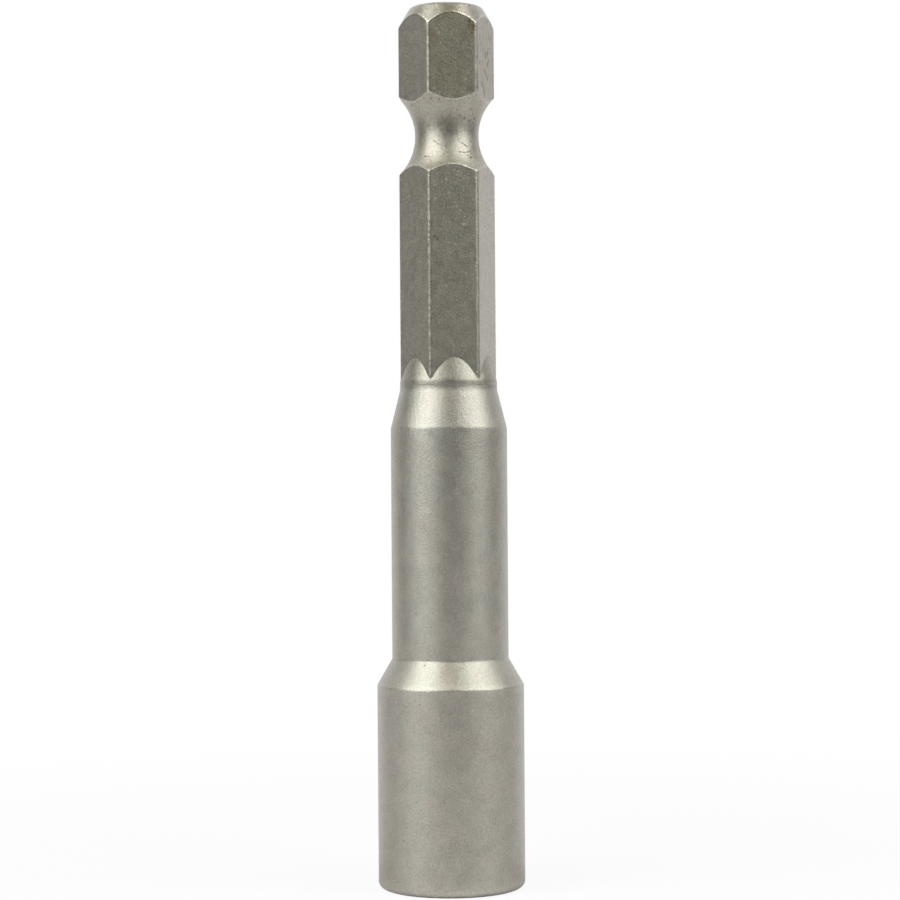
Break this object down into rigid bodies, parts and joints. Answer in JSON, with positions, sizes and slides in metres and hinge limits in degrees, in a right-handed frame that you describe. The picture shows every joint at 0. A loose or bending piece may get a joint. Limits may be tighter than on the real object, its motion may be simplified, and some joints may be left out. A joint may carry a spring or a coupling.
{
  "type": "nut setter",
  "caption": "Magnetic nut setter: hex drive shank with a round ball groove, pressed into a round steel body whose wider head has a hex nut pocket.",
  "frame": {"origin": "centre of the socket's rim, in the plane on which the part stands", "axes": "+Z along the tool's axis, from the socket's rim up to the end of the shank; a flat of the shank and a flat of the nut pocket face -Y"},
  "size_m": [0.0108, 0.0108, 0.065],
  "materials": {
    "shank_steel": "satin, finely blasted nickel grey",
    "body_steel": "satin, finely blasted nickel grey",
    "sleeve_aluminium": "turned, plain",
    "magnet_nickel": "nickel plate, lightly ground"
  },
  "bodies": {
    "root": {"drive_shank": "shank_steel", "socket_body": "body_steel", "magnet_sleeve": "sleeve_aluminium", "magnet": "magnet_nickel"}
  },
  "joints": []
}
